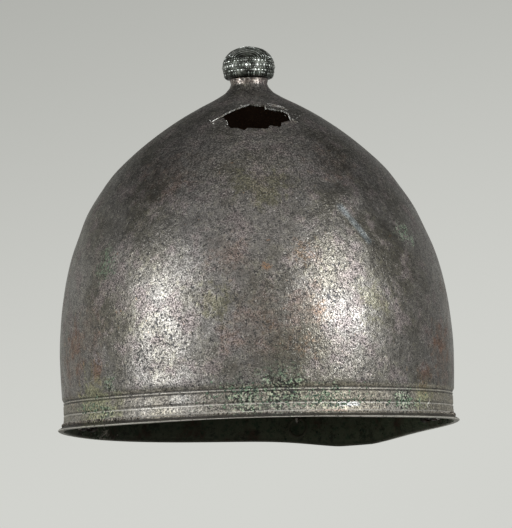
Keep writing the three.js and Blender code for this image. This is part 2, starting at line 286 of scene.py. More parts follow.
bronzeLook = {
    "metallic": 0.85,
    "roughness": 0.42,
    "grey": paint(115, 111, 107),
    "dark": paint(91, 87, 79),
    "purple": paint(118, 108, 106),
    "haze": paint(102, 99, 76),
    "green": paint(78, 98, 76),
    "softGreen": paint(98, 114, 88),
    "paleGreen": paint(152, 168, 138),
    "copper": paint(150, 116, 86),
    "pale": paint(150, 158, 160),
    "band": paint(123, 116, 100),
    # lip: the pale lip edge, polished by wear and brightened further as a painted highlight
    "lip": paint(190, 186, 176),
    # light: pale flecks, and the painted highlights of the bright lines beside the grooves and on the ridge
    "light": paint(190, 185, 176),
    "black": paint(30, 27, 24),
    "inside": paint(116, 122, 100),
    "insideRed": paint(104, 88, 74),
    "insideBrown": paint(96, 68, 48),
    "throatCopperAndGlint": paint(118, 98, 92),
    # Noises as (scale, detail, roughness)
    "noises": {
        "cloud": (24, 4, 0.55), "mottle": (90, 5, 0.6), "dent": (130, 3, 0.5),
        "ragged": (190, 8, 0.8), "blotch": (300, 4, 0.65), "freckle": (330, 2, 0.5),
        "speck": (480, 3, 0.7), "crumb": (620, 4, 0.75), "pit": (700, 1, 0.5),
        "crust": (820, 1, 0.5), "coarse": (980, 1, 0.5), "fleck": (1100, 2, 0.5),
        "grain": (1500, 1, 0.5)},
    # Masks as (what each is cut from, from, to, least, most)
    "masks": {
        "dark": ("cloud", 0.38, 0.66, 0, 1),
        "purple": ("mottle", 0.48, 0.66, 0, 0.7),
        "haze": ("blotch", 0.52, 0.68, 0, 0.22),
        "cloudy": ("mottle", 0.4, 0.62, 0.2, 0.6),
        "stained": ("mottle", 0.4, 0.6, 0.15, 0.6),
        "specks": ("speck", 0.44, 0.6, 0, 1),
        "band": ("height", 18.375 * mm, 16.975 * mm, 0, 1),
        "bandTone": ("cloud", 0.3, 0.6, 0.2, 0.6),
        "bandGreen": ("mottle", 0.56, 0.7, 0, 0.45),
        # Pinkish band at the top of the neck: bare copper tone with a painted glint
        "throatCopperAndGlint": ("height", 184.3 * mm, 186.2 * mm, 0, 0.25),
        "blotches": ("blotch", 0.3, 0.7, 0.72, 1.3),
        # Painted shade: the upper bowl is darker towards the top
        "topShade": ("height", 85 * mm, 132 * mm, 1, 0.84),
        "coarse": ("coarse", 0.4, 0.6, 0.66, 1.34),
        "coarseShare": ("height", 95 * mm, 140 * mm, 0, 1),
        "grain": ("grain", 0.38, 0.62, 0.52, 1.52),
        "grainShare": ("mottle", 0.35, 0.6, 0.6, 1),
        "highFlecks": ("height", 120 * mm, 165 * mm, 0, 0.03),
        "flecks": ("flecks", 0.64, 0.7, 0, 0.6),
        "crumbs": ("crumb", 0.45, 0.57, 0, 1),
        "low": ("height", 26 * mm, 19 * mm, 0, 1),
        "paleGreen": ("grain", 0.45, 0.65, 0, 1),
        "freckles": ("freckle", 0.72, 0.78, 0, 0.5),
        "crust": ("crust", 0.4, 0.6, 0.05, 1.65),
        # Painted shade in the recess between the lip edge and the moulding
        "recessShadeFoot": ("height", 0.75 * mm, 0.975 * mm, 0, 1),
        "recessShadeTop": ("height", 2.75 * mm, 2.2 * mm, 0, 0.75),
        "highlightGrain": ("grain", 0.44, 0.56, 0.25, 1),
        "lip": ("height", 0.825 * mm, 0.6 * mm, 0, 0.75),
        "pits": ("pits", 0.64, 0.68, 0, 1),
        "insideRed": ("mottle", 0.5, 0.68, 0, 1),
        "insideGreen": ("blotch", 0.5, 0.65, 0, 0.8),
        "insideBlack": ("ragged", 0.5, 0.62, 0, 0.6),
        "insideShade": ("side", -100 * mm, 100 * mm, 0.75, 1.4),
        "insideBrown": ("height", 80 * mm, 130 * mm, 0, 1)},
    # Tints as (colour, weight, patches); a patch has its centre and its radius in millimetres
    "tints": {
        "brown": (paint(112, 96, 86), 1, [
            ((-96, -42, 34), 26), ((-86, -64, 52), 18), ((97, -42, 34), 24), ((100, -22, 66), 22),
            ((2, -113, 46), 26), ((26, -109, 56), 18), ((-14, -110, 84), 16), ((-40, -70, 128), 24),
            ((40, -66, 134), 20), ((-60, 92, 50), 26), ((84, 60, 44), 26)]),
        "olive": (paint(102, 99, 76), 0.55, [
            ((6.7, -96, 118), 15), ((-2, -93, 124), 13), ((14, -92, 126), 12), ((-20, -112, 60), 13),
            ((60, -90, 60), 14), ((40, 100, 90), 30), ((-90, 30, 80), 26)]),
        "bandOlive": (paint(140, 139, 106), 0.65, [
            ((-84, -66, 12), 24), ((-80, -76, 10), 12), ((86, -64, 13), 12)]),
        "rust": (paint(108, 88, 70), 0.6, [
            ((26, -113, 36), 11), ((26, -106, 85), 12), ((6, -112, 48), 8), ((33, -109, 56), 9),
            ((60, 92, 50), 18)]),
        "edgeRust": (paint(112, 80, 60), 1, [
            ((-95, -48, 42), 20), ((-82, -70, 28), 10), ((96, -46, 40), 20), ((87, -62, 22), 12)]),
        # A painted sheen of pale specks on the inner wall near the left hinge
        "insidePaintedSheen": (paint(250, 240, 226), 1, [((-86, 62, 3), 12)]),
        "insideDark": (paint(30, 27, 24), 1, [((-98, 37, 2), 8)])},
    "greens": [
        ((-77, -71, 85), 12), ((79, -60, 98), 11), ((-76, -78, 22), 8), ((12, -113, 14), 19),
        ((-6, -113, 10), 14), ((76, -78, 9), 11), ((-78, -74, 8), 8), ((36, -111, 10), 12),
        ((90, 50, 30), 25), ((-60, 95, 60), 28), ((10, 80, 130), 18)],
    "coppers": [((6.1, -111.3, 77.6), 3)],
    "pits": [((-46.5, -103.4, 44.6), 15), ((-56, -96, 34), 14), ((38, -106, 62), 9),
             ((-6, -113, 15), 11), ((14, -112, 12), 11)],
    # Painted shade in the grooves, and painted highlights along their edges and on the ridge, partly
    # burnished, as (height, half the width, weight, colour), in millimetres
    "lines": [(8.5, 0.36, 0.3, "black"), (14.05, 0.36, 0.7, "black"), (15.63, 0.36, 0.7, "black"),
              (7.75, 0.3, 0.5, "light"), (14.84, 0.3, 0.35, "light"), (3.7, 0.3, 0.5, "light")],
    # Painted highlights on the band and the ridge where the lamps reflect, as (centre, radius, height of the
    # line, half its width, colour, weight)
    "paintedHighlights": [((46, -100, 7.5), 13, 6.9, 1.1, paint(232, 236, 240), 0.36),
                ((39.5, -107, 3.5), 14, 3.6, 0.45, paint(192, 160, 142), 0.65),
                ((-40, -105, 11), 8, 11, 2.4, paint(200, 202, 206), 0.12)],
    "pitPush": 0.09,
    # Edges of the masks, as shares of a patch's radius, a line's half width and the streak's width
    "raggedness": 4,
    "patchEdge": (0.15, 0.75),
    "lineEdge": (1.3, 0.7),
    "streakRagged": 1.2,
    "streakEdge": (1.6, 0.6),
    "weights": {"streak": 0.5, "greens": 0.8, "coppers": 0.75, "pits": 0.9},
    # How much each makes the metal duller and rougher
    "shineLosses": {"greens": 0.7, "band": 0.3, "pits": 0.8, "inside": 0.6},
    "roughGains": {"greens": 0.3, "band": 0.08, "inside": 0.2},
    "grainRoughness": 0.4,
    "mottleRoughness": 0.6,
    "bandCrust": 0.3,
    "highCrust": 0.35,
    # Depths of the relief in millimetres
    "depths": {"dent": 0.4, "blotch": 0.2, "grain": 0.12},
    # The pale streak as (start, end, width)
    "streak": ((45.8, -86.4, 110.1), (59.2, -85.7, 92.6), 3.3),
}


def patchMask(coords, ragged, centre, radius):
    look = bronzeLook
    away = vectorCalc("DISTANCE", coords, [value * mm for value in centre], output=1)
    near = (ragged - 0.5) * look["raggedness"] - away / (radius * mm) + 1
    return ramp(near, *look["patchEdge"])


def streakMask(coords, ragged, start, end, width):
    look = bronzeLook
    start, end, width = Vector(start) * mm, Vector(end) * mm, width * mm
    along = (end - start).normalized()
    fromStart = vectorCalc("SUBTRACT", coords, start)
    share = highest(vectorCalc("DOT_PRODUCT", fromStart, along, output=1), 0.0)
    foot = scaled(along, calc("MINIMUM", share, (end - start).length))
    away = vectorCalc("LENGTH", vectorCalc("SUBTRACT", fromStart, foot), output=1)
    return ramp(ragged * (width * look["streakRagged"]) + away,
                *(width * share for share in look["streakEdge"]))


def lineMask(height, centre, half):
    return ramp(abs(height - centre * mm), *(half * share * mm for share in bronzeLook["lineEdge"]))


def makeBronze():
    look = bronzeLook
    material, shader, coords = newMaterial("bowlBronze")
    source = {name: noiseOf(coords, *values) for name, values in look["noises"].items()}
    height, inside = [through(coords.tree, "ShaderNodeAttribute", output="Fac", attribute_name=name)
                      for name in ("plainHeight", "inside")]
    source["height"] = height
    source["side"] = split(coords)[0]
    ragged = source["ragged"]

    def mask(name):
        cutFrom, *limits = look["masks"][name]
        return ramp(source[cutFrom], *limits)

    def spots(patches):
        return highest(*(patchMask(coords, ragged, *patch) for patch in patches))

    def tinted(color, name, broken=1):
        tone, weight, patches = look["tints"][name]
        return mixed(spots(patches) * (broken * weight), color, tone)

    band, low, specks = mask("band"), mask("low"), mask("specks")
    weights = look["weights"]
    color = look["grey"]
    for name in ("dark", "purple", "haze"):
        color = mixed(mask(name), color, look[name])
    color = tinted(color, "brown", mask("cloudy"))
    color = mixed(band * mask("bandTone"), color, look["band"])
    color = tinted(color, "olive")
    color = tinted(color, "bandOlive")
    color = tinted(color, "rust", specks)
    color = tinted(color, "edgeRust", mask("stained"))
    # Pinkish band at the top of the neck: bare copper tone with a painted glint
    color = mixed(mask("throatCopperAndGlint"), color, look["throatCopperAndGlint"])
    streak = streakMask(coords, ragged, *look["streak"])
    color = mixed(streak * weights["streak"], color, look["pale"])
    # The blotches vary the tone; the upper bowl is darkened as painted shade
    color = shaded(shaded(color, mask("blotches")), mask("topShade"))
    color = shaded(color, mask("coarse"), mask("coarseShare"))
    color = shaded(color, mask("grain"), mask("grainShare"))
    source["flecks"] = source["fleck"] + mask("highFlecks")
    color = mixed(mask("flecks"), color, look["light"])

    greenZone = spots(look["greens"])
    greens = highest(mask("bandGreen") * band, greenZone) * mask("crumbs")
    greenTone = mixed(low, look["softGreen"], look["paleGreen"])
    greenTone = mixed(mask("paleGreen"), look["green"], greenTone)
    color = mixed(greens * weights["greens"], color, greenTone)
    crusted = greenZone * (low * (1 - look["highCrust"]) + look["highCrust"])
    color = shaded(color, mask("crust"), highest(band * look["bandCrust"], crusted))
    coppers = highest(spots(look["coppers"]) * specks, mask("freckles"))
    color = mixed(coppers * weights["coppers"], color, look["copper"])
    # Painted shade darkens the grooves; painted highlights brighten the lines beside them and on the ridge
    for centre, half, weight, tone in look["lines"]:
        color = mixed(lineMask(height, centre, half) * weight, color, look[tone])
    # Painted shade: the recess between the lip edge and the moulding is darkened
    color = mixed(mask("recessShadeFoot") * mask("recessShadeTop"), color, look["black"])
    # Painted highlights on the band and the ridge, broken up by the grain
    highlightGrain = mask("highlightGrain")
    for centre, radius, line, half, tone, weight in look["paintedHighlights"]:
        highlightPatch = patchMask(coords, ragged, centre, radius) * lineMask(height, line, half)
        color = mixed(highlightPatch * highlightGrain * weight, color, tone)
    # The lip edge is pale: polished wear with a painted highlight
    color = mixed(mask("lip"), color, look["lip"])
    source["pits"] = spots(look["pits"]) * look["pitPush"] + source["pit"]
    pits = mask("pits")
    color = mixed(pits * weights["pits"], color, look["black"])

    inner = mixed(mask("insideRed"), look["inside"], look["insideRed"])
    inner = mixed(mask("insideGreen"), inner, look["green"])
    inner = shaded(mixed(mask("insideBlack"), inner, look["black"]), mask("insideShade"))
    inner = mixed(mask("insideBrown"), inner, look["insideBrown"])
    # Painted sheen of pale specks near the left hinge, then a dark patch beside it
    inner = tinted(tinted(inner, "insidePaintedSheen", specks), "insideDark")
    shares = {"greens": greens, "band": band, "pits": pits, "inside": inside}
    shine = look["metallic"]
    for name, loss in look["shineLosses"].items():
        shine = (1 - shares[name] * loss) * shine
    grainy = (0.5 - source["grain"]) * look["grainRoughness"]
    rough = grainy + (source["mottle"] - 0.5) * look["mottleRoughness"] + look["roughness"]
    for name, gain in look["roughGains"].items():
        rough = rough + shares[name] * gain
    source["grain"] = source["grain"] - pits
    layers = [(source[name], depth * mm) for name, depth in look["depths"].items()]
    setShader(shader, mixed(inside, color, inner), shine, rough, layers)
    return material


bowlBronze = makeBronze()


# Noises as (scale, detail, roughness) and where each is cut, for all the plain metals
plainLook = {
    "cloud": (300, 4, 0.6),
    "grain": (1500, 3, 0.65),
    "spots": (520, 4, 0.6),
    "cloudCut": (0.4, 0.62),
    "grainCut": (0.6, 0.4, 0, 0.5),
    "spotsCut": (0.56, 0.66, 0, 0.75),
    "grainRoughness": 0.3,
    "spotDulling": 0.5,
}

# Plain metals as (light, dark, spots, metallic, roughness, depth of the relief in millimetres)
metalLooks = {
    "knobBronze": ((200, 202, 196), (90, 92, 86), (88, 98, 84), 0.95, 0.34, 0.02),
    # The knob's core: its greenish-black patina, with painted shade between the raised relief
    "knobDark": ((78, 80, 72), (30, 31, 27), (46, 56, 44), 0.85, 0.4, 0.06),
    "ridgeBronze": ((148, 140, 128), (58, 52, 47), (104, 80, 66), 0.75, 0.4, 0.1),
    # Near white for the staple and the hinge pins: polished wear with a painted glint
    "wornBronze": ((236, 230, 220), (130, 120, 108), (150, 150, 130), 0.9, 0.3, 0.05),
    "fittingBronze": ((96, 76, 64), (50, 44, 40), (80, 98, 78), 0.5, 0.55, 0.15),
    "ringBronze": ((126, 124, 104), (96, 96, 80), (104, 112, 90), 0.34, 0.55, 0.15),
    # Near white for the torn edges, creases, crumbs and the scratch: bare bronze with a painted highlight
    "tornBronze": ((252, 250, 244), (128, 120, 108), (190, 192, 178), 0.1, 0.4, 0.05),
    "verdigris": ((120, 140, 112), (46, 62, 52), (176, 186, 160), 0.1, 0.75, 0.15),
}


def makePlainMetal(name, light, dark, spots, metallic, roughness, relief):
    look = plainLook
    material, shader, coords = newMaterial(name)
    cloud = noiseOf(coords, *look["cloud"])
    grain = noiseOf(coords, *look["grain"])
    spotMask = ramp(noiseOf(coords, *look["spots"]), *look["spotsCut"])
    color = mixed(ramp(cloud, *look["cloudCut"]), paint(*light), paint(*dark))
    color = mixed(spotMask, color, paint(*spots))
    color = mixed(ramp(grain, *look["grainCut"]), color, paint(*dark))
    rough = (grain - 0.5) * look["grainRoughness"] + roughness
    setShader(shader, color, metallic - spotMask * (look["spotDulling"] * metallic), rough,
              [(cloud, relief * 2 * mm), (grain, relief * mm)])
    return material


metals = {name: makePlainMetal(name, *values) for name, values in metalLooks.items()}
print("materials made")


# Form of the bowl, with the same sizes as the solid that it stands for

bowlForm = {
    "rimWidth": 215 * mm,
    "rimLength": 233 * mm,
    "lipFlare": 2.2 * mm,
    "neckHeight": 188.5 * mm,
    "wall": 1.3 * mm,
    "neckSolid": 11 * mm,
    "boreRadius": 2.7 * mm,
    "seatRadius": 8.1 * mm,
    "sideArch": 1.4 * mm,
    "archPower": 6,
    "backDrop": 1.2 * mm,
    "dipDepth": 5.2 * mm,
    "dipAngle": radians(30),
    "dipSpread": radians(13),
    "warpHeight": 48 * mm,
    "standFlat": 0.5 * mm,
    "lopShift": 1.3 * mm,
    "lopRise": 6,
    "lopFall": 2,
    "sides": 480,
    "wallStep": 2.5 * mm,
    "innerStep": 6 * mm,
    "dentDepth": 1.1 * mm,
    "dentScale": 19,
    "sharpAngle": radians(55),
    "outlineShares": [
        (0.094, 0.995), (0.16, 0.999), (0.226, 1), (0.293, 0.9925), (0.36, 0.98), (0.43, 0.957),
        (0.498, 0.923), (0.562, 0.878), (0.62, 0.833), (0.676, 0.769), (0.732, 0.695),
        (0.787, 0.594), (0.835, 0.49), (0.881, 0.373), (0.9155, 0.269), (0.94, 0.185),
        (0.961, 0.124), (0.9755, 0.101), (0.9865, 0.093), (1, 0.0985)],
}

bandForm = {
    "height": 17.5 * mm,
    "inset": 1.2 * mm,
    "grooveWidth": 1.1 * mm,
    "grooveDepth": 0.5 * mm,
    "grooveShares": [0.485, 0.803, 0.893],
    "mouldingHeight": 3.1 * mm,
    "mouldingWidth": 1.7 * mm,
    "mouldingRise": 0.95 * mm,
    "lipRecess": 0.35 * mm,
    "lipEdge": 0.9 * mm,
    "lipThickness": 3.2 * mm,
    "step": 0.3 * mm,
}

rimRadius = bowlForm["rimWidth"] / 2
wallRadius = rimRadius - bowlForm["lipFlare"]
bandRadius = wallRadius - bandForm["inset"]
waistRadius = bandRadius - bowlForm["wall"]
bowlForm["oval"] = bowlForm["rimLength"] / bowlForm["rimWidth"]
bowlForm["ceiling"] = bowlForm["neckHeight"] - bowlForm["neckSolid"]


# The bowl's warp, from the numbers of its form or from the fields of the shell's tree

def clampShare(value, whole):
    return calc("DIVIDE", value, whole, clamped=True)


def narrowing(height, form=bowlForm):
    return 1 - clampShare(height, form["neckHeight"]) ** 3


def ovalAt(height, form=bowlForm):
    return (form["oval"] - 1) * narrowing(height, form) + 1


def lopAt(height, form=bowlForm):
    t = clampShare(height, form["ceiling"])
    peak = form["lopRise"] / (form["lopRise"] + form["lopFall"])
    climb = (t / peak) ** form["lopRise"]
    return climb * ((1 - t) / (1 - peak)) ** form["lopFall"] * form["lopShift"]


def rimLift(angle, form=bowlForm):
    away = (angle - form["dipAngle"]) / form["dipSpread"]
    arch = abs(calc("SINE", angle)) ** form["archPower"] * form["sideArch"]
    drop = highest(calc("COSINE", angle), 0) * form["backDrop"]
    return arch - drop - calc("EXPONENT", away * away * -0.5) * form["dipDepth"]


# Place on the bowl before it is stood up; the angle is from straight back, positive towards +X
def warped(angle, radius, height, form=bowlForm):
    t = clampShare(height, form["warpHeight"])
    lift = rimLift(angle, form) * ((1 - t) * (1 - t) * (t * 2 + 1))
    return (radius * calc("SINE", angle) - lopAt(height, form),
            radius * calc("COSINE", angle) * ovalAt(height, form), height + lift)


def wallPoint(angle, radius, height):
    return Vector(warped(remainder(angle, 2 * pi), radius, height))


frontPoint = wallPoint(pi, rimRadius, 0)
dipPoint = wallPoint(bowlForm["dipAngle"], rimRadius, 0)
lean = atan2(frontPoint.z - dipPoint.z, dipPoint.y - frontPoint.y)
leanTurn = Matrix.Rotation(lean, 4, "X")
liftUp = -(leanTurn @ frontPoint).z - bowlForm["standFlat"]
standUp = Matrix.Translation((0, 0, liftUp)) @ leanTurn


# Profiles are lists of (radius, height) from the lip edge up the outside and down the inside

def splinePoints(points, step):
    points = [np.array(point, float) for point in points]
    points = [2 * points[0] - points[1], *points, 2 * points[-1] - points[-2]]
    made = []
    for a, b, c, d in zip(points, points[1:], points[2:], points[3:]):
        count = max(1, round(np.linalg.norm(c - b) / step))
        for i in range(count):
            t = i / count
            made.append((2 * b + (c - a) * t + (2 * a - 5 * b + 4 * c - d) * t ** 2
                         + (3 * b - a - 3 * c + d) * t ** 3) / 2)
    made.append(points[-2])
    return made


def linePoints(points, step):
    made = []
    for a, b in zip(points, points[1:]):
        a, b = np.array(a, float), np.array(b, float)
        count = max(1, round(np.linalg.norm(b - a) / step))
        made += [a + (b - a) * i / count for i in range(count)]
    made.append(np.array(points[-1], float))
    return made


def softened(points):
    middle = [(a + 2 * b + c) / 4 for a, b, c in zip(points, points[1:], points[2:])]
    return [points[0], *middle, points[-1]]


wallOutline = [(wide * wallRadius, high * bowlForm["neckHeight"])
               for high, wide in bowlForm["outlineShares"]]
fineOutline = splinePoints(wallOutline, 1 * mm)


def radiusAt(height):
    return float(np.interp(height, [p[1] for p in fineOutline], [p[0] for p in fineOutline]))


def lipOutline():
    form = bandForm
    crest = bandRadius + form["mouldingRise"]
    points = [
        (rimRadius - form["lipThickness"], 0),
        (rimRadius - form["lipEdge"] / 2, 0),
        (rimRadius, form["lipEdge"] / 2),
        (rimRadius - form["lipEdge"] / 2, form["lipEdge"]),
        (crest - form["lipRecess"], form["mouldingHeight"] - form["mouldingWidth"] / 2),
        (crest, form["mouldingHeight"]),
        (bandRadius + form["mouldingRise"] / 3, form["mouldingHeight"] + form["mouldingWidth"] / 2),
        (bandRadius, form["mouldingHeight"] + 2 * form["mouldingWidth"])]
    half = form["grooveWidth"] / 2
    for share in form["grooveShares"]:
        centre = share * form["height"]
        points += [(bandRadius, centre - half), (bandRadius - form["grooveDepth"], centre),
                   (bandRadius, centre + half)]
    return points


def bowlProfile():
    form = bowlForm
    lip = softened(linePoints([*lipOutline(), wallOutline[0]], bandForm["step"]))
    outer = splinePoints(wallOutline, form["wallStep"])
    ceiling = form["ceiling"]
    inner = []
    spaced = splinePoints(wallOutline, form["innerStep"])
    for before, point, after in zip(spaced, spaced[1:], spaced[2:]):
        along = (after - before) / np.linalg.norm(after - before)
        inside = point + np.array([-along[1], along[0]]) * form["wall"]
        if inside[0] > form["seatRadius"] + form["wall"] and inside[1] < ceiling:
            inner.append(inside)
    inner = linePoints([
        (form["boreRadius"], form["neckHeight"]), (form["boreRadius"], ceiling),
        (form["seatRadius"], ceiling), *inner[::-1], (waistRadius, bandForm["height"]),
        (waistRadius, 2 * bandForm["mouldingWidth"]), (rimRadius - bandForm["lipThickness"], 0)],
        form["innerStep"])
    return [*lip, *outer[1:], *inner], len(lip) + len(outer) - 1


# The shell's tree turns a profile line into the whole warped, dented and leaning bowl
def buildShell(tree, value):
    line = value["Geometry"]
    rows = through(tree, "GeometryNodeAttributeDomainSize", {0: line}, "Point Count", component="MESH")
    grid = through(tree, "GeometryNodeMeshGrid", {"Vertices X": value["sides"] + 1, "Vertices Y": rows})
    index = through(tree, "GeometryNodeInputIndex")
    column = calc("FLOOR", (index + 0.5) / rows)
    row = index - column * rows
    here = through(tree, "GeometryNodeInputPosition")
    place = through(tree, "GeometryNodeSampleIndex", {"Geometry": line, "Value": here, "Index": row},
                    data_type="FLOAT_VECTOR", domain="POINT")
    radius, _, height = split(place)
    angle = (column / value["sides"] - 0.5) * (2 * pi)
    spot = join(*warped(angle, radius, height, value))
    shaped = through(tree, "GeometryNodeSetPosition", {0: grid, "Position": spot})
    outward = through(tree, "GeometryNodeFlipFaces", {0: shaped})
    inside = calc("GREATER_THAN", row, value["outsidePoints"] - 0.5)
    for label, field in (("plainHeight", height), ("inside", inside),
                         ("dentShare", narrowing(height, value))):
        outward = through(tree, "GeometryNodeStoreNamedAttribute",
                          {0: outward, "Name": label, "Value": field}, data_type="FLOAT", domain="POINT")

    lump = noiseOf(here, value["dentScale"], 2.5)
    kept = through(tree, "GeometryNodeInputNamedAttribute", {0: "dentShare"}, data_type="FLOAT")
    push = scaled(vectorCalc("NORMALIZE", here), (lump - 0.5) * value["dentDepth"] * kept)
    dented = through(tree, "GeometryNodeSetPosition", {0: outward, "Offset": push})
    closed = through(tree, "GeometryNodeMergeByDistance", {0: dented, "Distance": 0.01 * mm})
    stood = through(tree, "GeometryNodeTransform", {
        0: closed, "Rotation": join(value["lean"], 0, 0), "Translation": join(0, 0, value["lift"])})
    x, y, z = split(here)
    return through(tree, "GeometryNodeSetPosition", {0: stood, "Position": join(x, y, highest(z, 0))})


def makeBowlMesh():
    form = bowlForm
    profile, outsidePoints = bowlProfile()
    line = addObject("profileLine", meshOf(
        "profileLine", [(radius, 0, height) for radius, height in profile],
        edges=[(i, i + 1) for i in range(len(profile) - 1)]))
    numbers = ["oval", "ceiling", "neckHeight", "lopShift", "lopRise", "lopFall", "sideArch", "archPower",
               "backDrop", "dipDepth", "dipAngle", "dipSpread", "warpHeight", "dentDepth", "dentScale"]
    mesh = growMesh(line, "turnedShell", buildShell, {
        **{name: float(form[name]) for name in numbers}, "sides": form["sides"],
        "outsidePoints": outsidePoints, "lean": lean, "lift": liftUp, "material": bowlBronze})
    dropObject(line)
    return mesh


# Loss hole: its ragged outline lies on the outer wall, and the cut goes in nearly level

holeForm = {
    "width": 37.4 * mm,
    "height": 17.4 * mm,
    "side": 2.9 * mm,
    "belowNeck": 25.8 * mm,
    "step": 0.5 * mm,
    "ragged": 0.17 * mm,
    "seed": 11,
    "reachOut": 3 * mm,
    "reachIn": 6 * mm,
    "level": 1.9,
    "outlineShares": [
        (-0.5, 0.05), (-0.414, 0.19), (-0.2, 0.41), (-0.086, 0.5), (0.084, 0.45), (0.162, 0.43),
        (0.14, 0.335), (0.238, 0.31), (0.393, 0.24), (0.463, 0.155), (0.5, -0.135),
        (0.371, -0.22), (0.355, -0.385), (0.2, -0.33), (0.186, -0.425), (0.129, -0.445),
        (-0.123, -0.41), (-0.152, -0.5), (-0.249, -0.4), (-0.347, -0.385), (-0.396, -0.285),
        (-0.402, -0.12), (-0.458, 0.005)],
}


# Point on the front of the outer wall at a sideways place and a height, and the way out there
def frontWall(side, height):
    def at(side, height):
        radius = radiusAt(height)
        sine = min(max((side + lopAt(height)) / radius, -1), 1)
        return standUp @ wallPoint(pi - asin(sine), radius, height)
    small = 0.5 * mm
    across = at(side + small, height) - at(side - small, height)
    upward = at(side, height + small) - at(side, height - small)
    return at(side, height), across.cross(upward).normalized()


def holeOutline():
    form = holeForm
    draw = random.Random(form["seed"])
    corners = [(form["side"] + x * form["width"],
                bowlForm["neckHeight"] - form["belowNeck"] + y * form["height"])
               for x, y in form["outlineShares"]]
    points = linePoints([*corners, corners[0]], form["step"])[:-1]
    return [(x + draw.uniform(-1, 1) * form["ragged"], y + draw.uniform(-1, 1) * form["ragged"])
            for x, y in points]


def makeHoleCutter():
    form = holeForm
    outline = holeOutline()
    count = len(outline)
    points = []
    for reach in (form["reachOut"], -form["reachIn"]):
        for side, height in outline:
            place, outward = frontWall(side, height)
            outward = (outward + Vector((0, -form["level"], 0))).normalized()
            points.append(place + outward * reach)
    caps = tessellate_polygon([[Vector((side, height, 0)) for side, height in outline]])
    faces = [(i, (i + 1) % count, count + (i + 1) % count, count + i) for i in range(count)]
    faces += [tuple(tri) for tri in caps]
    faces += [tuple(count + i for i in reversed(tri)) for tri in caps]
    mesh = gathered("holeCutter", [meshOf("holeShape", points, faces)],
                    lambda whole: bmesh.ops.recalc_face_normals(whole, faces=whole.faces))
    # The cut faces are near white: bare bronze with a painted highlight
    mesh.materials.append(metals["tornBronze"])
    return addObject("holeCutter", mesh)


# The cut's new points lack the stored heights, so these are worked out from their places
def restoreAttributes(mesh):
    heights = mesh.attributes["plainHeight"].data
    insides = mesh.attributes["inside"].data
    back = standUp.inverted()
    centre = bowlForm["neckHeight"] - holeForm["belowNeck"]
    for vertex in mesh.vertices:
        x, y, z = back @ vertex.co
        if y < 0 and abs(x) < holeForm["width"] and abs(z - centre) < holeForm["height"]:
            radius = hypot(x + lopAt(z), y / ovalAt(z))
            heights[vertex.index].value = z
            insides[vertex.index].value = float(radius < radiusAt(z) - bowlForm["wall"] * 0.7)


def makeBowl():
    bowl = addObject("bowl_skin", makeBowlMesh())
    cutter = makeHoleCutter()
    modifier = bowl.modifiers.new("hole", "BOOLEAN")
    modifier.operation = "DIFFERENCE"
    modifier.solver = "EXACT"
    modifier.object = cutter
    modifier.material_mode = "TRANSFER"
    applyModifiers(bowl)
    dropObject(cutter)
    restoreAttributes(bowl.data)
    smoothFaces(bowl.data, bowlForm["sharpAngle"])
    setPiece(bowl, "helmet", "bowl_bronze", "bowl")
    print("bowl made:", len(bowl.data.polygons), "faces")


makeBowl()


# Studs: small domes set on given points, each facing out and turned along the row

def buildStuds(tree, value):
    def named(label, kind):
        return through(tree, "GeometryNodeInputNamedAttribute", {0: label}, data_type=kind)

    here = through(tree, "GeometryNodeInputPosition")
    wear = noiseOf(vectorCalc("ADD", here, join(value["seed"], 0, 0)), value["wornScale"], 3)
    gone = calc("LESS_THAN", wear, value["wornShare"])
    points = through(tree, "GeometryNodeDeleteGeometry", {0: value["Geometry"], "Selection": gone},
                     domain="POINT")
    facing = through(tree, "FunctionNodeAlignRotationToVector",
                     {"Vector": named("outward", "FLOAT_VECTOR")}, axis="Z")
    lined = through(tree, "FunctionNodeAlignRotationToVector",
                    {"Rotation": facing, "Vector": named("along", "FLOAT_VECTOR")}, axis="X", pivot_axis="Z")
    slant = through(tree, "FunctionNodeAxisAngleToRotation", {"Axis": (0, 0, 1), "Angle": value["slant"]})
    slanted = through(tree, "FunctionNodeRotateRotation", {0: lined, 1: slant}, rotation_space="LOCAL")
    chance = through(tree, "FunctionNodeRandomValue", {0: (-1, -1, -1), "Seed": value["seed"]},
                     data_type="FLOAT_VECTOR")
    spread = vectorCalc("MULTIPLY_ADD", chance, join(*[value["sizeSpread"]] * 3), (1, 1, 1))
    size = vectorCalc("MULTIPLY", spread, value["studSize"])
    ball = through(tree, "GeometryNodeMeshUVSphere", {"Segments": 8, "Rings": 5, "Radius": 1})
    return through(tree, "GeometryNodeInstanceOnPoints", {
        0: points, "Instance": ball, "Rotation": slanted, "Scale": scaled(size, named("size", "FLOAT"))})


# Each place is (point, outward direction, direction along the row, size)
def growStuds(places, size, spread, metal, slant=0.0, wornShare=0.0, wornScale=60.0, seed=1):
    mesh = meshOf("studPlaces", [place[0] for place in places])
    for label, column in (("outward", 1), ("along", 2)):
        layer = mesh.attributes.new(label, "FLOAT_VECTOR", "POINT")
        layer.data.foreach_set("vector", [value for place in places for value in place[column]])
    layer = mesh.attributes.new("size", "FLOAT", "POINT")
    layer.data.foreach_set("value", [place[3] for place in places])
    base = addObject("studPlaces", mesh)
    made = growMesh(base, "studRow", buildStuds, {
        "studSize": size, "sizeSpread": spread, "slant": slant, "wornShare": wornShare,
        "wornScale": wornScale, "seed": seed, "material": metals[metal]})
    dropObject(base)
    smoothFaces(made)
    return made


# The worn cable moulding: slanting lumps along the ridge over the lip

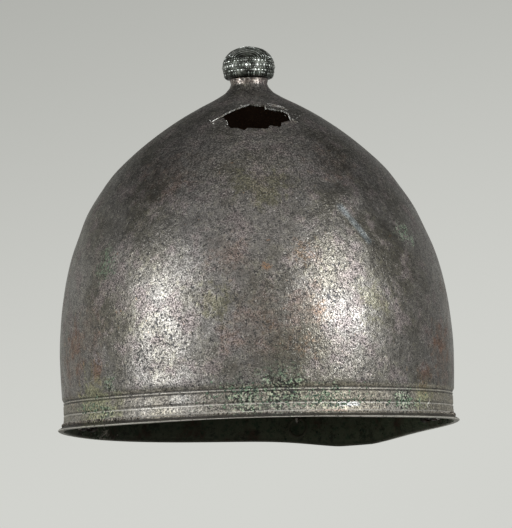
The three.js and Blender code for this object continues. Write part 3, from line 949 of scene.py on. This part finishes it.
cableForm = {
    "count": 290,
    "size": (1.0 * mm, 0.55 * mm, 0.36 * mm),
    "spread": 0.35,
    "sink": 0.1 * mm,
    "slant": radians(42),
    "wornShare": 0.38,
    "wornScale": 22.0,
    "seed": 5,
    # Sizes as (from angle, to angle, size); elsewhere the lumps have their plain size
    "sizes": [(110, 193, 0.7), (193, 213, 0.4), (213, 248, 1.2)],
}


def wallPlace(angle, radius, height, size=1.0):
    point = standUp @ wallPoint(angle, radius, height)
    outward = Vector((ovalAt(height) * sin(angle), cos(angle), 0)).normalized()
    along = Vector((outward.y, -outward.x, 0))
    turn = standUp.to_3x3()
    return point, turn @ outward, turn @ along, size


def makeCable():
    form = cableForm
    crest = bandRadius + bandForm["mouldingRise"] - form["sink"]
    places = []
    for i in range(form["count"]):
        angle = 360 * i / form["count"]
        size = next((size for low, high, size in form["sizes"] if low < angle < high), 1)
        places.append(wallPlace(radians(angle), crest, bandForm["mouldingHeight"], size))
    return growStuds(places, form["size"], form["spread"], "ridgeBronze", form["slant"],
                     form["wornShare"], form["wornScale"], form["seed"])


setPiece(addObject("rim_cable", makeCable()), "helmet", "bowl_bronze")
print("cable moulding made")


# Crusts of corrosion products on the band, thickest where the metal is green

crustForm = {
    # Patches as (angle, height, angle spread, height spread, count), outside and inside the rim
    "patches": [(172, 8, 26, 8, 260), (160, 9, 14, 6, 110), (132, 8, 9, 5, 90), (237, 10, 12, 5, 80),
                (184, 16, 9, 4, 70), (60, 9, 20, 6, 120), (300, 9, 20, 7, 120)],
    "inner": [(298, 3.5, 5, 3, 40), (291, 2, 2, 2, 8), (20, 6, 30, 6, 60), (75, 3, 6, 4, 20)],
    "lowest": 5 * mm,
    "sizes": (0.5, 1.3),
    "size": (0.46 * mm, 0.46 * mm, 0.28 * mm),
    "spread": 0.45,
    "seed": 23,
}


def makeCrust():
    form = crustForm
    draw = random.Random(form["seed"])
    places = []
    for patch in form["patches"] + form["inner"]:
        angle, height, angleSpread, heightSpread, count = patch
        for _ in range(count):
            turn = radians(draw.gauss(angle, angleSpread / 2))
            high = abs(draw.gauss(height, heightSpread / 2)) * mm
            size = draw.uniform(*form["sizes"])
            if patch in form["inner"]:
                point, outward, along, size = wallPlace(turn, waistRadius, high, size)
                places.append((point, -outward, along, size))
            elif high > form["lowest"]:
                radius = bandRadius if high < bandForm["height"] else radiusAt(high)
                places.append(wallPlace(turn, radius, high, size))
    return growStuds(places, form["size"], form["spread"], "verdigris", seed=form["seed"])


setPiece(addObject("band_crust", makeCrust()), "helmet", "bowl_bronze")


# Thin tubes for raised lines

def tubeMesh(points, radii, sides=6):
    rings = []
    points = [Vector(point) for point in points]
    for i, point in enumerate(points):
        along = (points[min(i + 1, len(points) - 1)] - points[max(i - 1, 0)]).normalized()
        if rings:
            across = (across - along * across.dot(along)).normalized()
        else:
            across = along.orthogonal().normalized()
        third = along.cross(across)
        for k in range(sides):
            turn = 2 * pi * k / sides
            rings.append(point + (across * cos(turn) + third * sin(turn)) * radii[i])
    ends = [tuple(reversed(range(sides))), tuple(range(len(rings) - sides, len(rings)))]
    mesh = meshOf("tube", rings, ringFaces(len(points), sides) + ends)
    smoothFaces(mesh)
    return mesh


# Torn creases beside the loss: each runs over the wall from place to place, thickest in its middle

creaseForm = {
    "lines": [
        ([(-15.8, 163.6), (-17.6, 162.4), (-19.6, 161.2), (-20.6, 160.4)], 0.24),
        ([(9.4, 171.6), (12.4, 171.0), (15.4, 170.2), (18.6, 169.0)], 0.12),
        ([(10.5, 170.2), (13.6, 169.8), (17.0, 168.8), (20.2, 167.2)], 0.12),
        ([(21.9, 161.0), (23.6, 159.8), (25.4, 159.4)], 0.16),
    ],
    "step": 0.6 * mm,
    "endShare": 0.35,
    # A bent scratch on the band's right as (angle, height)
    "scratch": [(120.6, 10.2), (121.4, 8), (122.8, 6.6), (121.8, 4.6), (122.6, 3.6)],
    "scratchThickness": 0.26,
    # Crumbs as (side, height, size), beside the torn edge
    "crumbs": [
        (22.6, 161.2, 0.42), (-19.4, 159.6, 0.4), (-4.4, 170.6, 0.36), (-12.4, 160.8, 0.24),
        (-12.0, 158.6, 0.26), (-12.8, 157.2, 0.2), (24.8, 162.4, 0.22), (26.4, 163.8, 0.2),
        (24.0, 164.6, 0.2), (27.6, 161.6, 0.2), (-14.6, 164.2, 0.34), (8.4, 168.6, 0.24),
        (18.6, 163.6, 0.24), (-21.0, 161.6, 0.22), (29.0, 160.6, 0.16), (2.0, 172.0, 0.16)],
    "crumbSize": (1 * mm, 0.8 * mm, 0.7 * mm),
    "crumbSpread": 0.3,
    "seed": 3,
}


def makeCreases():
    form = creaseForm
    meshes = []
    routes = []
    for corners, thickness in form["lines"]:
        spots = splinePoints([(x * mm, z * mm) for x, z in corners], form["step"])
        routes.append(([frontWall(x, z)[0] for x, z in spots], thickness))
    scratch = [wallPlace(radians(angle), bandRadius, height * mm)[0]
               for angle, height in form["scratch"]]
    routes.append((scratch, form["scratchThickness"]))
    for points, thickness in routes:
        least, count = form["endShare"], len(points)
        swell = [least + (1 - least) * sin(pi * (i + 0.5) / count) for i in range(count)]
        meshes.append(tubeMesh(points, [thickness * mm * share for share in swell]))
    places = []
    for side, height, size in form["crumbs"]:
        point, outward = frontWall(side * mm, height * mm)
        places.append((point, outward, Vector((1, 0, 0)), size))
    # The crumbs, creases and scratch are near white: bare bronze with a painted highlight
    meshes.append(growStuds(places, form["crumbSize"], form["crumbSpread"], "tornBronze",
                            seed=form["seed"]))
    return joinMeshes("torn_creases", meshes, "tornBronze")


setPiece(addObject("torn_creases", makeCreases()), "helmet", "bowl_bronze")
print("crust and creases made")


# Crest knob: a turned core with cast rows of tongues, bosses and scales and arched lines on top

knobForm = {
    "radius": 13.9 * mm,
    "height": 17.5 * mm,
    "gap": 0.3 * mm,
    "boreRadius": 2.7 * mm,
    "boreDepth": 9 * mm,
    "sides": 96,
    "step": 0.5 * mm,
    "outlineShares": [(0, 0.75), (0.04, 0.92), (0.14, 0.965), (0.33, 1), (0.5, 0.99), (0.66, 0.905),
                      (0.8, 0.755), (0.91, 0.555), (0.975, 0.315), (1, 0)],
    # Rows as (height share, count, size of a stud, how proud it stands, turn in steps)
    "rows": [
        (0.08, 56, (0.55, 1.7, 1.2), 0.08, 0.0),
        (0.195, 38, (1.9, 1.3, 1.8), 0.22, 0.5),
        (0.27, 76, (0.4, 0.36, 0.5), 0.12, 0.0),
        (0.345, 38, (2.3, 2.2, 2.2), 0.32, 0.0),
        (0.425, 76, (0.4, 0.36, 0.5), 0.12, 0.5),
        (0.5, 38, (2.0, 1.4, 1.8), 0.22, 0.5),
        (0.565, 66, (0.45, 0.4, 0.5), 0.12, 0.0)],
    "spread": 0.1,
    # Nested arched lines as (top share, foot share, half of the span in degrees)
    "arches": 3,
    "archTurn": radians(185),
    "archLines": [(0.985, 0.6, 58), (0.945, 0.6, 52), (0.895, 0.6, 45), (0.835, 0.6, 38),
                  (0.765, 0.6, 30), (0.69, 0.6, 20)],
    "archThickness": 0.17 * mm,
    "archSteps": 26,
    "seed": 9,
}


knobOutline = splinePoints([(wide * knobForm["radius"], high * knobForm["height"])
                            for high, wide in knobForm["outlineShares"]], knobForm["step"])
knobBase = bowlForm["neckHeight"] + knobForm["gap"]


def knobPlace(share, turn, sink=0.0, size=1.0):
    height = share * knobForm["height"]
    heights = [point[1] for point in knobOutline]
    index = min(max(int(np.searchsorted(heights, height)), 1), len(knobOutline) - 1)
    slope = knobOutline[index] - knobOutline[index - 1]
    slope = slope / np.linalg.norm(slope)
    radius = float(np.interp(height, heights, [point[0] for point in knobOutline]))
    sine, cosine = sin(turn), cos(turn)
    outward = Vector((slope[1] * sine, slope[1] * cosine, -slope[0]))
    point = Vector((radius * sine, radius * cosine, knobBase + height)) - outward * sink
    basis = standUp.to_3x3()
    return standUp @ point, basis @ outward, basis @ Vector((cosine, -sine, 0)), size


def makeKnobCore():
    form = knobForm
    points = [(form["boreRadius"], form["boreDepth"]), (form["boreRadius"], 0), *knobOutline[:-1]]
    sides = form["sides"]
    made = [standUp @ Vector((0, 0, knobBase + form["boreDepth"])),
            standUp @ Vector((0, 0, knobBase + form["height"]))]
    for radius, height in points:
        for k in range(sides):
            turn = 2 * pi * k / sides
            made.append(standUp @ Vector((radius * cos(turn), radius * sin(turn),
                                          knobBase + height)))
    faces = ringFaces(len(points), sides, 2)
    last = len(made) - sides
    for k in range(sides):
        after = (k + 1) % sides
        faces += [(0, 2 + after, 2 + k), (1, last + k, last + after)]
    mesh = meshOf("crest_knob_skin", made, faces)
    # The dark core carries the knob's patina and painted shade between the relief
    mesh.materials.append(metals["knobDark"])
    smoothFaces(mesh)
    return mesh


def makeKnobRelief():
    form = knobForm
    meshes = []
    for number, (share, count, size, proud, shift) in enumerate(form["rows"]):
        step = 2 * pi / count
        sink = (size[2] - proud) * mm
        places = [knobPlace(share, (i + shift) * step, sink) for i in range(count)]
        meshes.append(growStuds(places, tuple(value * mm for value in size), form["spread"],
                                "knobBronze", seed=form["seed"] + number))
    for arch in range(form["arches"]):
        middle = form["archTurn"] + 2 * pi * arch / form["arches"]
        for top, foot, span in form["archLines"]:
            points = []
            for i in range(form["archSteps"] + 1):
                t = 2 * i / form["archSteps"] - 1
                share = foot + (top - foot) * sqrt(max(0, 1 - t * t))
                points.append(knobPlace(share, middle + t * radians(span))[0])
            meshes.append(tubeMesh(points, [form["archThickness"]] * len(points)))
    return joinMeshes("crest_knob_relief", meshes, "knobBronze")


setPiece(addObject("crest_knob_skin", makeKnobCore()), "helmet", "knob_bronze", "crest_knob")
setPiece(addObject("crest_knob_relief", makeKnobRelief()), "helmet", "knob_bronze")
print("knob made")


# Fittings: each solid gets an aged skin with softened edges and a pitted surface

fittingForm = {
    "weld": 0.001 * mm,
    "voxel": 0.3 * mm,
    "smoothing": 4,
    "smoothShare": 0.5,
    "pitDepth": 0.16 * mm,
    "pitSize": 2.2 * mm,
    "pitLevel": 0.6,
    # The staple and the hinge pins are polished by wear and painted near white to glint
    "finishes": {"strap_staple": "wornBronze", "strap_ring": "ringBronze",
                 "hinge_pin_left": "wornBronze", "hinge_pin_right": "wornBronze"},
    "nodes": [
        "knob_pin", "knob_washer", "hinge_plate_left", "hinge_pin_left", "hinge_rivet_left_front",
        "hinge_rivet_left_back", "hinge_plate_right", "hinge_pin_right", "hinge_rivet_right_front",
        "hinge_rivet_right_back", "strap_staple", "strap_ring"],
}

pitTexture = bpy.data.textures.new("pits", "CLOUDS")
pitTexture.noise_scale = fittingForm["pitSize"]


def ageFitting(node):
    form = fittingForm
    mesh = gathered(node + "_aged", [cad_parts[node].data], lambda whole: (
        bmesh.ops.remove_doubles(whole, verts=whole.verts, dist=form["weld"])))
    piece = addObject(node + "_aged", mesh)
    remesh = piece.modifiers.new("remesh", "REMESH")
    remesh.mode = "VOXEL"
    remesh.voxel_size = form["voxel"]
    smooth = piece.modifiers.new("smooth", "SMOOTH")
    smooth.iterations = form["smoothing"]
    smooth.factor = form["smoothShare"]
    pits = piece.modifiers.new("pits", "DISPLACE")
    pits.texture = pitTexture
    pits.texture_coords = "LOCAL"
    pits.strength = form["pitDepth"]
    pits.mid_level = form["pitLevel"]
    applyModifiers(piece)
    piece.data.materials.clear()
    piece.data.materials.append(metals[form["finishes"].get(node, "fittingBronze")])
    smoothFaces(piece.data)
    setPiece(piece, "ring" if node == "strap_ring" else "helmet", "fitting_bronze", node)


for node in fittingForm["nodes"]:
    ageFitting(node)
print("fittings aged")


# Stage: a pale floor that can be seen through from below, a pale backdrop in the world, two lamps

stageForm = {
    "floorSize": 6,
    "floorColor": paint(200, 201, 197),
    "floorTint": paint(180, 180, 176),
    "tintScale": 5,
    "tintShare": 0.06,
    "floorRoughness": 0.8,
    # Painted light: the floor glows faintly for all but camera rays, lighting the helmet from below
    "floorGlow": 0.12,
    # The floor is darker beside each lamp, so that it doesn't burn out there
    "lampPool": 0.85,
    "poolColor": paint(70, 70, 68),
    "poolEdge": (0.8, 0.15, 0, 0.9),
    "bottom": paint(211, 212, 207),
    "top": paint(171, 172, 167),
    "ceiling": paint(48, 48, 46),
    "window": paint(230, 230, 228),
    # Heights in the view of the world at which one tone turns into the next
    "wallHeights": (0.06, 0.24),
    "ceilingHeights": (0.3, 0.62),
    "tilt": 0.2,
    "windowFront": (0.5, 0),
    "windowSides": (0.6, 0.2),
    # The sides are shaded so that the bowl's outer parts get dark, but not behind the camera
    "highShade": (0.4, 0.65, -1, 0),
    "highSlant": (0.3, 0.5, 0, 0.4),
    "sideLoss": 0.2,
    "shadeFront": (-0.6, 0),
    "shadeLimits": (-0.6, 0.4),
    "ambient": 0.5,
    # Lamps as (name, turn from the camera's side, elevation, distance, width, height, watts)
    "lamps": [("leftLamp", -56, 11, 1.3, 0.48, 0.66, 13.6),
              ("rightLamp", 53, 15.5, 1.3, 0.45, 0.74, 18.0)],
    "lampColor": (0.93, 0.965, 1),
    "lampAim": 0.1,
}


# The way out from the middle, turned from the front towards +X and raised
def direction(turn, elevation=0):
    return Vector((sin(turn) * cos(elevation), -cos(turn) * cos(elevation), sin(elevation)))


def makeFloor():
    form = stageForm
    half = form["floorSize"] / 2
    mesh = meshOf("floor", [(-half, -half, 0), (half, -half, 0), (half, half, 0), (-half, half, 0)],
                  [(0, 1, 2, 3)])
    material, shader, coords = newMaterial("paleFloor")
    tree = coords.tree
    color = mixed(noiseOf(coords, form["tintScale"], 2) * form["tintShare"], form["floorColor"],
                  form["floorTint"])
    for _, turn, _, distance, *_ in form["lamps"]:
        pool = direction(radians(turn)) * (distance * form["lampPool"])
        away = vectorCalc("DISTANCE", coords, pool, output=1)
        color = mixed(ramp(away, *form["poolEdge"]), color, form["poolColor"])
    seen = through(tree, "ShaderNodeLightPath", output="Is Camera Ray")
    for label, value in (("Base Color", color), ("Roughness", form["floorRoughness"]),
                         ("Emission Color", form["floorColor"]),
                         ("Emission Strength", (1 - seen) * form["floorGlow"])):
        feed(shader.inputs[label], value)
    choice = through(tree, "ShaderNodeMixShader", {
        0: through(tree, "ShaderNodeNewGeometry", output="Backfacing"),
        1: Field(tree, shader.outputs[0]), 2: through(tree, "ShaderNodeBsdfTransparent")})
    leave = next(node for node in tree.nodes if node.type == "OUTPUT_MATERIAL")
    feed(leave.inputs["Surface"], choice)
    mesh.materials.append(material)
    addObject("floor", mesh)


def makeWorld():
    form = stageForm
    world = bpy.data.worlds.new("paleStudio")
    bpy.context.scene.world = world
    world.use_nodes = True
    tree = world.node_tree
    tree.nodes.clear()
    x, y, z = split(through(tree, "ShaderNodeTexCoord", output="Generated"))
    high = ramp(z - x * form["tilt"], *form["wallHeights"])
    wall = mixed(high, form["bottom"], form["top"])
    wall = mixed(ramp(z, *form["ceilingHeights"]), wall, form["ceiling"])
    away = abs(x)
    window = ramp(y, *form["windowFront"]) * ramp(away, *form["windowSides"])
    wall = mixed(window, wall, form["window"])
    shade = x * away * ramp(z, *form["highShade"]) + x * ramp(z, *form["highSlant"])
    shade = (shade - away * form["sideLoss"]) * ramp(y, *form["shadeFront"])
    least, most = form["shadeLimits"]
    wall = shaded(wall, highest(calc("MINIMUM", shade, most), least) + 1)
    backdrop = through(tree, "ShaderNodeBackground", {0: wall})
    ambient = through(tree, "ShaderNodeBackground", {0: wall, 1: form["ambient"]})
    ray = addNode(tree, "ShaderNodeLightPath").outputs
    camera, glossy, clear = [Field(tree, ray[f"Is {kind} Ray"])
                             for kind in ("Camera", "Glossy", "Transmission")]
    seen = calc("ADD", camera + glossy, clear, clamped=True)
    choice = through(tree, "ShaderNodeMixShader", {0: seen, 1: ambient, 2: backdrop})
    feed(addNode(tree, "ShaderNodeOutputWorld").inputs[0], choice)


def makeLamps():
    for name, turn, elevation, distance, width, height, watts in stageForm["lamps"]:
        data = bpy.data.lights.new(name, "AREA")
        data.shape = "RECTANGLE"
        data.size, data.size_y = width, height
        data.energy = watts
        data.color = stageForm["lampColor"]
        lamp = addObject(name, data)
        towards = direction(radians(turn), radians(elevation))
        lamp.location = towards * distance + Vector((0, 0, stageForm["lampAim"]))
        lamp.rotation_euler = towards.to_track_quat("Z", "Y").to_euler()


cameraForm = {
    "eyeDistance": 2.2,
    "eyeHeight": 100 * mm,
    "aim": (0.97 * mm, 0.97 * mm, 91.98 * mm),
    "azimuth": radians(0.064),
    "elevation": radians(-6.913),
    "roll": radians(-1.651),
    "focalPixels": 4092.4,
    "imageHeight": 528,
    "sensor": 36,
}


def makeCamera():
    form = cameraForm
    away = direction(form["azimuth"], form["elevation"])
    eye = Vector((0, 0, form["eyeHeight"])) + away * form["eyeDistance"]
    look = (Vector(form["aim"]) - eye).normalized()
    right = look.cross(Vector((0, 0, 1))).normalized()
    up = right.cross(look)
    cosine, sine = cos(form["roll"]), sin(form["roll"])
    turnedRight = right * cosine + up * sine
    turnedUp = up * cosine - right * sine
    data = bpy.data.cameras.new("photoCamera")
    data.sensor_width = form["sensor"]
    data.lens = form["focalPixels"] / form["imageHeight"] * form["sensor"]
    camera = addObject("photoCamera", data)
    axes = Matrix((turnedRight, turnedUp, -look)).transposed()
    camera.matrix_world = Matrix.Translation(eye) @ axes.to_4x4()
    bpy.context.scene.camera = camera


makeFloor()
makeWorld()
makeLamps()
makeCamera()
bpy.context.scene.view_settings.view_transform = "Standard"
print("stage, lamps and camera made")
